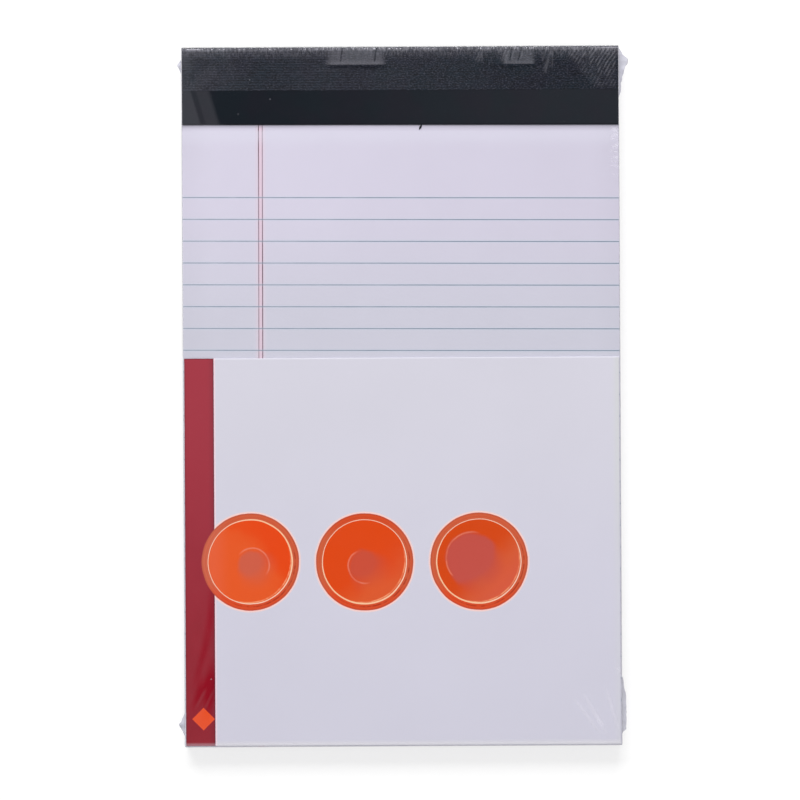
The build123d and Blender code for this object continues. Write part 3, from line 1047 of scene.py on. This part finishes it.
# %% Haze in the hatch and the creases
across = film.x * math.sin(hatch_turn) - film.y * math.cos(hatch_turn)
across = across + (film.speckle(0.11, 1.0, seed=75.0) - 0.5) * 1.3


def streaks(half_pitch, low, high):
    """Parallel streaks along the hatch, as a step of the distance to the nearest one."""
    return film.step(film.math("PINGPONG", across, half_pitch), low, high)


broken = film.step(film.speckle(0.6, stretch=(1, 0.55, 1), seed=77.0), 0.34, 0.62)
patch = film.step(film.x + (film.y - hatch_y) * hatch_slope, *hatch_start)
patch = patch * film.y_step(88.9, 90.6) * film.x_step(62.5, 62.0)
fine = streaks(0.32, 0.12, 0.28) * film.x_step(43.5, 47.0) * film.y_step(96.5, 99.5) * (1 - patch)
slanted = streaks(0.4, 0.14, 0.34) * film.step(abs(film.x - 29.6), 2.2, 1.2)
fine = fine + slanted * film.y_step(96.6, 97.6) * 0.4
patch = patch * (0.5 + film.y_step(90.0, 97.0) * 0.5)
zone_haze = zone_haze + patch * (0.012 + streaks(0.5, 0.15, 0.45) * broken * 0.085) + fine * broken * 0.045
creased = sum(along_line(start, end, width * 0.6, 0.22) for start, end, width, _ in strip_creases)
zone_haze = zone_haze + film.math("MINIMUM", creased, 1.2) * 0.045
gathered = along_line((43.4, 102.0), (41.9, 94.4), 0.9, 1.0) + along_line((23.5, 102.0), (22.3, 97.0), 0.7, 0.8)
zone_haze = zone_haze + gathered * crinkle * 0.02
strip_haze = flap_haze * (1 - on_zone) + zone_haze * on_zone

# %% [markdown]
# Over the card the haze is thinnest, but a little stronger on the red band, where it leaves long clear
# patches. A painted highlight runs along the foot. Where the film turns down beside the pad it is grey,
# a painted shade of the pad's side. The ears are doubled and crumpled, so they are nearly white. The
# gloss is a mirror share that rises with the angle of view as it does on any plastic.

# %% Haze over the card, its painted highlight and shade, and the film's gloss
leaves = sum(
    along_line(start, end, width, soft, 0.4) * strength
    for start, end, width, soft, strength in (
        ((-56.0, -52.0), (-56.4, -72.0), 0.3, 1.4, 0.32),
        ((-56.2, -60.0), (-58.6, -78.0), 0.4, 1.4, 0.34),
        ((-57.6, -70.0), (-61.5, -86.0), 0.3, 1.3, 0.38),
        ((-55.6, -76.0), (-57.8, -95.0), 0.9, 1.6, 0.82),
        ((-57.8, -80.5), (-61.8, -92.5), 0.7, 1.4, 0.66),
    )
)
pale = sum(
    along_line(start, end, 0.1, 0.6, 0.3)
    for start, end in (((-57.7, -84.5), (-61.2, -91.0)), ((-55.6, -85.0), (-58.6, -91.5)))
)
leaves = film.math("MINIMUM", leaves, 1.0) - pale * 0.6
over_band = film.x_step(-50.0, -56.0) * (0.024 + film.y_step(-70.0, 5.0) * 0.012)
low_creases = sum(along_line(start, end, width * 0.7, 0.6, 0.3) for start, end, width, _ in card_creases)
# A painted highlight along the film's foot edge.
painted_foot_highlight = film.y_step(foot_line + 1.7, foot_line + 0.7) * 0.22
card_haze = patches * 0.008 + over_band - leaves * 0.04 + low_creases * 0.2
side_noise = film.speckle(1.0, stretch=(0.3, 1.3, 1), seed=86.0)
side_streaks = film.x_step(60.0, 62.2) * film.y_step(62.5, 67.0) * film.step(side_noise, 0.48, 0.6)
card_haze = film.math("MAXIMUM", card_haze, painted_foot_highlight) + side_streaks * 0.45
specks = sum(
    film.step(film.far_from(place), 0.3, 0.12) * strength
    for *place, strength in (
        (-38.3, 86.6, 0.10), (-47.6, 82.3, 0.09), (-56.3, -82.0, 0.2), (-44.2, 92.3, 0.12),
    )
)
haze = film.math("MAXIMUM", strip_haze * on_strip + card_haze * (1 - on_strip), 0.0) + specks
past_side = abs(film.x - middle_x) - film_half
ears = film.step(past_side, 0.01, 0.13)
# Where the film turns down beside the pad it is tinted grey: a painted shade of the pad's side.
turned = film.step(past_side, -0.17, -0.07) * film.step(film.z, page_top - 0.6, page_top - 0.1) * 0.55
haze = film.math("MAXIMUM", film.math("MAXIMUM", haze, ears * 0.75), turned * (1 - on_strip))
edge_facing = Value(film, film.node("LayerWeight", {}, {0: 0.5}).outputs["Facing"])
gloss_share = 0.04 + edge_facing**5.0 * 0.7
sheen = film.speckle(0.35, 3.0, stretch=(1, 0.6, 1), seed=80.0)
ripple = film.bump(sheen + crinkle * near_head * 0.5, 0.05, 0.35)
glassy = film.node("BsdfGlossy", {}, {"Roughness": 0.12, "Normal": ripple}).outputs[0]
clear = film.node("BsdfTransparent").outputs[0]
# The grey of the turned film is painted shade.
milk = film.layers(ink(226, 224, 236), (turned, 150, 150, 158), (ears, 208, 208, 219))
milk_inputs = {"Base Color": milk, "Roughness": 0.9, "Specular IOR Level": 0.0}
milky = film.node("BsdfPrincipled", {}, milk_inputs).outputs[0]
glossed = film.node("MixShader", {}, {0: gloss_share, 1: clear, 2: glassy}).outputs[0]
dress(shrink_film, film.end(film.node("MixShader", {}, {0: haze, 1: glossed, 2: milky}).outputs[0]))
shrink_film.visible_shadow = False
shrink_film.visible_diffuse = False

# %% [markdown]
# ## The table, the light and the camera
# The pad was photographed from straight above on plain white. The floor is pale and keeps the pad's
# soft shadow, and shows white to the camera. One large soft lamp stands beyond the head, so the tents
# over the stitches are lit on the side towards it and shaded below. The sky is an even white studio,
# dark only straight overhead, where the camera stands.

# %% The floor
floor_mesh = bpy.data.meshes.new("floor")
reach, floor_z = 6.0, -0.0002
floor_corners = [(-reach, -reach), (reach, -reach), (reach, reach), (-reach, reach)]
floor_mesh.from_pydata([(*corner, floor_z) for corner in floor_corners], [], [(0, 1, 2, 3)])
floor = bpy.data.objects.new("floor", floor_mesh)
bpy.context.scene.collection.objects.link(floor)
floor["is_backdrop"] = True
ground = Finish("pale_floor")
path = ground.node("LightPath").outputs
seen = ground.math("MAXIMUM", path["Is Camera Ray"], path["Is Glossy Ray"])
seen = ground.math("MAXIMUM", seen, path["Is Transmission Ray"])
matt = ground.node("BsdfDiffuse", {}, {"Color": ground.shade((1, 1, 1, 1), 0.8 - seen * 0.35)}).outputs[0]
lift = ground.node("Emission", {}, {"Color": (1, 1, 1, 1), "Strength": seen * 0.62}).outputs[0]
dress(floor, ground.end(ground.node("AddShader", {}, {0: matt, 1: lift}).outputs[0]))

# %% The sky
SKY_LIGHT = 0.42
world = bpy.data.worlds.new("studio")
bpy.context.scene.world = world
world.use_nodes = True
sky = Nodes(world.node_tree)
direction = sky.node("SeparateXYZ", {}, {0: sky.node("TexCoord").outputs["Generated"]})
ramp = sky.node("ValToRGB", {}, {0: direction.outputs[2]})
for place, grey in zip((0.12, 0.45, 0.9), (1.0, 0.35, 0.015)):
    stop = ramp.color_ramp.elements.new(place)
    stop.color = (grey, grey, grey, 1)
for index in (-1, 0):
    ramp.color_ramp.elements.remove(ramp.color_ramp.elements[index])
ray = sky.node("LightPath").outputs
mirrored = sky.math("MAXIMUM", ray["Is Glossy Ray"], ray["Is Transmission Ray"])
plain = {"data_type": "FLOAT"}
strength = sky.node("Mix", plain, {0: mirrored, 2: SKY_LIGHT, 3: ramp.outputs[0]}).outputs[0]
strength = sky.node("Mix", plain, {0: ray["Is Camera Ray"], 2: strength, 3: 1.0}).outputs[0]
background = sky.node("Background", {}, {"Color": (1, 1, 1, 1), "Strength": strength})
sky.node("OutputWorld", {}, {0: background.outputs[0]})
print(f"sky: {len(sky.tree.nodes)} nodes")


# %% The lamps
def soft_lamp(name, place, size, watts):
    """A rectangular soft lamp at a place in metres, turned to shine at the middle of the pad."""
    light = bpy.data.lights.new(name, "AREA")
    light.shape, light.size, light.size_y, light.energy = "RECTANGLE", size[0], size[1], watts
    lamp = bpy.data.objects.new(name, light)
    bpy.context.scene.collection.objects.link(lamp)
    lamp.location = place
    lamp.rotation_mode = "QUATERNION"
    lamp.rotation_quaternion = Vector(place).to_track_quat("Z", "Y")
    print(f"{name}: {size[0]} by {size[1]} m, {watts} W")


soft_lamp("head_lamp", (-0.25, 1.5, 1.15), (1.5, 0.8), 34.0)
soft_lamp("foot_fill", (0.5, -1.4, 1.5), (1.4, 1.0), 7.0)

# %% The camera
camera_data = bpy.data.cameras.new("camera")
camera = bpy.data.objects.new("camera", camera_data)
bpy.context.scene.collection.objects.link(camera)
bpy.context.scene.camera = camera
camera_height, view_width = 1000.0, 232.8
view_x, view_y = middle_x - 0.52, -1.08
camera_data.sensor_width = 36.0
camera_data.lens = camera_data.sensor_width * camera_height / view_width
camera.location = (view_x * MM, view_y * MM, (page_top + camera_height) * MM)
camera.rotation_euler = (0, 0, print_lean)
bpy.context.scene.view_settings.view_transform = "Standard"
print(f"lens {camera_data.lens:.1f} mm, {800 / view_width:.3f} pixels to the millimetre at the page")

# %% Sizes, and the end
visual_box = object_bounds()
for title, box in (("solids", cad_box), ("visual", visual_box)):
    print(title, (np.array(box) / MM).round(2).tolist())
